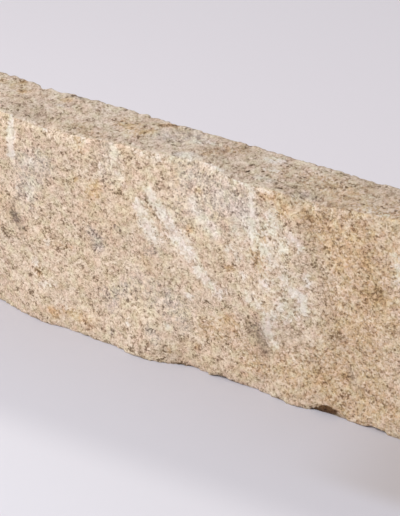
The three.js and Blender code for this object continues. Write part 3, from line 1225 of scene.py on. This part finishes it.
@dataclass
class KerbStone:
    """The kerb stone: one block of split granite."""

    ARRIS = "arris"
    TOP = "top"

    node: str = "kerb_stone"  # the CAD node that the stone stands for
    merge: float = 1e-6  # how near each other the solid's loose corners are merged
    cell: float = 2.8 * MM  # the spacing of the fine mesh
    melt_rounds: int = 26  # how often the facets are averaged away
    wear_rounds: int = 1  # how often the arrises are averaged as well
    arris_reach: int = 8  # how many rounds of averaging find the arrises
    arris_fall: float = 1.5 * MM  # how far the averaging sinks a fully sharp arris
    arris_hold: Span = (1.4, 0.3)  # how firmly the arrises are held, as a gain and a start
    arris_spread: int = 2  # how many rounds of averaging spread them
    arris_gain: float = 1.5  # how much wider they are for that
    facing: Span = (2.0, 0.2)  # how squarely a mark's face has to look out, as a gain and a start
    upward: Span = (3.0, 1.9)  # how squarely the top has to look up, likewise
    bed: float = 0.3 * MM  # the height up to which the level bed is left alone
    gap: Gap = field(default_factory=Gap)  # the gap over the ground, and the painted shade in it
    swells: tuple[Swell, ...] = BACK_ARRIS_SWELLS  # the swells of its arrises
    relief: Relief = field(default_factory=Relief)  # the broken surface's sizes
    finish: Granite = field(default_factory=Granite)  # the granite
    marks: tuple[Mark, ...] = ALL_MARKS  # the painted marks

    def build(self, nodes: dict[str, bpy.types.Object]) -> bpy.types.Object:
        """Makes the stone's surface from its CAD solid and hands it over to the frame.

        Args:
            nodes: the frame's CAD objects, by name.

        Returns:
            The finished piece.
        """
        body = self._remeshed(nodes[self.node])
        self._melt(Skin(body.data))
        self._paint(Skin(body.data))
        self.relief.raise_on(body, self.finish.material(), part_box(self.node))
        stone = self._frozen(body, "kerb_stone_surface")
        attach(stone, "root")
        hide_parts(self.node)
        return stone

    def _remeshed(self, solid: bpy.types.Object) -> bpy.types.Object:
        """Turns a merged copy of the solid into an even mesh.

        Args:
            solid: the CAD node's object.

        Returns:
            The even mesh's object.
        """
        mesh = bpy.data.meshes.new("kerb_stone_body")
        work = bmesh.new()
        work.from_mesh(solid.data)
        bmesh.ops.remove_doubles(work, verts=work.verts, dist=self.merge)
        work.to_mesh(mesh)
        work.free()
        body = new_object("kerb_stone_body", mesh)
        remesh = body.modifiers.new("even", "REMESH")
        remesh.mode = "VOXEL"
        remesh.voxel_size = self.cell
        wrap = body.modifiers.new("wrap", "SHRINKWRAP")
        wrap.target = solid
        wrap.wrap_method = "NEAREST_SURFACEPOINT"
        return self._frozen(body, "kerb_stone_skin")

    @staticmethod
    def _frozen(source: bpy.types.Object, name: str) -> bpy.types.Object:
        """Turns an object with live modifiers into one with a plain mesh, and removes the first.

        Args:
            source: the object with modifiers.
            name: the new object's name.

        Returns:
            The plain object.
        """
        depsgraph = bpy.context.evaluated_depsgraph_get()
        mesh = bpy.data.meshes.new_from_object(source.evaluated_get(depsgraph), depsgraph=depsgraph)
        mesh.name = name
        source.modifiers.clear()
        bpy.data.objects.remove(source)
        return new_object(name, mesh)

    def _melt(self, skin: Skin) -> None:
        """Averages the CAD facets away, keeps the arrises, and stores where they are.

        Args:
            skin: the even mesh, which is changed.
        """
        fall = skin.averaged(skin.places, self.arris_reach) - skin.places
        depth = -np.einsum("ij,ij->i", fall, skin.normals)
        on_bed = skin.places[:, 2] < self.bed
        hold = rising(np.abs(depth) / self.arris_fall, *self.arris_hold)
        places = skin.averaged(skin.places, self.melt_rounds, np.where(on_bed, 1.0, hold))
        places = skin.averaged(places, self.wear_rounds, np.where(places[:, 2] < self.bed, 1.0, 0.0))
        places = places + sum(swell.lift(places) for swell in self.swells)
        places[:, 2] = np.maximum(places[:, 2] - self.gap.steepness * self.gap.behind(places) * MM, 0.0)
        skin.move(places)
        arris = np.clip(depth / self.arris_fall, 0.0, 1.0)[:, None]
        skin.store(self.ARRIS, rising(skin.averaged(arris, self.arris_spread)[:, 0], self.arris_gain))

    def _paint(self, skin: Skin) -> None:
        """Stores each tone's marks, the painted shade in the gap, and where the top is, as attributes.

        Args:
            skin: the even mesh.
        """
        plans = {face: face.plan(skin.places) for face in Face}
        facing = {face: rising(skin.normals @ face.outward, *self.facing) for face in Face}
        clear = {tone: np.ones(len(skin.places)) for tone in Tone}
        # painted shade: the rock behind the gap's lip is darkened where the shadow under it falls
        clear[Tone.MICA] -= self.gap.shade(skin.places)
        for mark in self.marks:
            clear[mark.tone] *= 1.0 - mark.shade(plans[mark.face], facing[mark.face])
        for tone in Tone:
            skin.store(tone.value, 1.0 - clear[tone])
        skin.store(self.TOP, rising(skin.normals[:, 2], *self.upward))


# ---- The studio ----


@dataclass(frozen=True)
class Lamp:
    """A square soft lamp that looks at the stone."""

    name: str  # what it is
    place: Place  # where it hangs
    size: float  # the length of its side
    power: float  # its power in watts
    colour: Colour = (1.0, 1.0, 1.0)  # its colour

    def hang(self, target: Vector) -> None:
        """Hangs the lamp.

        Args:
            target: the point that it looks at.
        """
        light = bpy.data.lights.new(self.name, "AREA")
        light.size = self.size
        light.energy = self.power
        light.color = self.colour
        lamp = new_object(self.name, light)
        lamp.location = self.place
        lamp.rotation_euler = (target - Vector(self.place)).to_track_quat("-Z", "Y").to_euler()


@dataclass(frozen=True)
class FloorPaper:
    """The floor's finish: matt paper, with the stone's shadow painted on, greyer near the stone."""

    beside: Colour = srgb(197, 195, 203)  # painted shadow: its colour along the stone's front
    before: Colour = srgb(212, 210, 217)  # its colour towards the camera
    behind: Colour = srgb(219, 214, 220)  # its colour behind the stone
    corner: Colour = srgb(183, 178, 181)  # painted shadow: its colour before the stone's right end
    # where the painted shadow along the front begins and where it is full, back from the stone's middle
    beside_back: Span = (-0.285, -0.2)
    beside_along: Span = (1.0, 0.5)  # the same along the stone, either way
    corner_back: Span = (-0.175, -0.13)  # the same for the painted shadow at the corner, back
    corner_start: Span = (0.2, 0.36)  # the same for its near end, along the stone
    corner_end: Span = (0.9, 0.5)  # the same for its far end
    behind_back: Span = (-0.05, 0.25)  # the same for what lies behind the stone
    roughness: float = 0.9  # the paper's roughness
    specular: float = 0.1  # how much light glances off it

    def material(self) -> bpy.types.Material:
        """Builds the paper, which reads Object coordinates.

        Returns:
            The material.
        """
        material = new_material("floor_paper")
        graph = Graph(material.node_tree)
        along = graph.term("ShaderNodeSeparateXYZ", {"Vector": graph.term("ShaderNodeTexCoord")["Object"]})
        back = along["Y"]
        # painted shadow of the stone, along its front and before its right end
        near = back.step(*self.beside_back) * graph.maths("ABSOLUTE", along).step(*self.beside_along)
        colour = graph.blend(near, self.before, self.beside)
        corner = along.step(*self.corner_start) * along.step(*self.corner_end) * back.step(*self.corner_back)
        colour = graph.blend(corner, colour, self.corner)
        colour = graph.blend(back.step(*self.behind_back), colour, self.behind)
        paper = {"Base Color": colour, "Roughness": self.roughness, "Specular IOR Level": self.specular}
        graph.end_in_principled(paper)
        return material


@dataclass
class Studio:
    """The floor, the light and the camera."""

    # the lamps
    lamps: tuple[Lamp, ...] = (
        Lamp("key", (-1.05, -1.75, 2.05), 1.4, 59.0),
        Lamp("top", (-0.6, 1.2, 2.4), 2.0, 5.0, (0.94, 0.97, 1.0)),
    )
    floor: FloorPaper = FloorPaper()  # the floor's finish
    sky: Colour = srgb(221, 215, 222)  # what shows past the floor
    ambient: float = 0.62  # the strength of the light from all round
    floor_side: float = 60.0  # the floor's side
    azimuth: float = 35.20  # the way the camera looks from, in degrees from the front towards the right end
    elevation: float = 26.13  # how far above the level it looks down from, in degrees
    distance: float = 3.525  # how far the camera is from what it looks at
    aim_height: float = 0.1177  # the height above the bed of what it looks at
    lens: float = 221.16  # the lens's focal length in millimetres
    sensor: float = 36.0  # the length of the camera's sensor in millimetres
    view_reach: float = 200.0  # how far the camera sees

    def build(self) -> None:
        """Builds the whole studio."""
        aim = Vector((0.0, 0.0, self.aim_height))
        self._floor()
        self._world()
        for lamp in self.lamps:
            lamp.hang(aim)
        self._camera(BLOCK_MIDDLE + aim)
        bpy.context.scene.view_settings.view_transform = "Standard"

    def _floor(self) -> None:
        """Lays the floor."""
        half = self.floor_side / 2
        mesh = bpy.data.meshes.new("floor")
        corners = [(-half, -half, 0.0), (half, -half, 0.0), (half, half, 0.0), (-half, half, 0.0)]
        mesh.from_pydata(corners, [], [(0, 1, 2, 3)])
        mesh.materials.append(self.floor.material())
        new_object("floor", mesh)

    def _world(self) -> None:
        """Sets the light from all round, and the pale backdrop that cameras and reflections see."""
        world = bpy.data.worlds.new("studio")
        world.use_nodes = True
        world.node_tree.nodes.clear()
        graph = Graph(world.node_tree)
        rays = graph.term("ShaderNodeLightPath")
        seen = graph.maths("MAXIMUM", rays["Is Camera Ray"], rays["Is Glossy Ray"])
        seen = graph.maths("MAXIMUM", seen, rays["Is Transmission Ray"])
        light = graph.term("ShaderNodeBackground", {"Color": (1.0, 1.0, 1.0, 1.0), "Strength": self.ambient})
        backdrop = graph.term("ShaderNodeBackground", {"Color": (*self.sky, 1.0), "Strength": 1.0})
        mixed = graph.term("ShaderNodeMixShader", {0: seen, 1: light, 2: backdrop})
        graph.node("ShaderNodeOutputWorld", {"Surface": mixed})
        bpy.context.scene.world = world

    def _camera(self, target: Vector) -> None:
        """Places the camera.

        Args:
            target: the point that it looks at.
        """
        turn, lift = radians(self.azimuth), radians(self.elevation)
        back = Vector((sin(turn) * cos(lift), -cos(turn) * cos(lift), sin(lift)))
        data = bpy.data.cameras.new("camera")
        data.lens = self.lens
        data.sensor_width = self.sensor
        data.sensor_fit = "AUTO"
        data.clip_end = self.view_reach
        camera = new_object("camera", data)
        camera.location = target + back * self.distance
        camera.rotation_euler = back.to_track_quat("Z", "Y").to_euler()
        bpy.context.scene.camera = camera


def main() -> None:
    """Builds the stone and the studio around it."""
    logging.basicConfig(level=logging.INFO, format="%(name)s: %(message)s")
    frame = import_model()
    stone = KerbStone().build(frame["nodes"])
    LOG.info("%s: %d faces", stone.name, len(stone.data.polygons))
    Studio().build()
    LOG.info("studio: floor, light and camera")


if __name__ == "__main__":
    main()
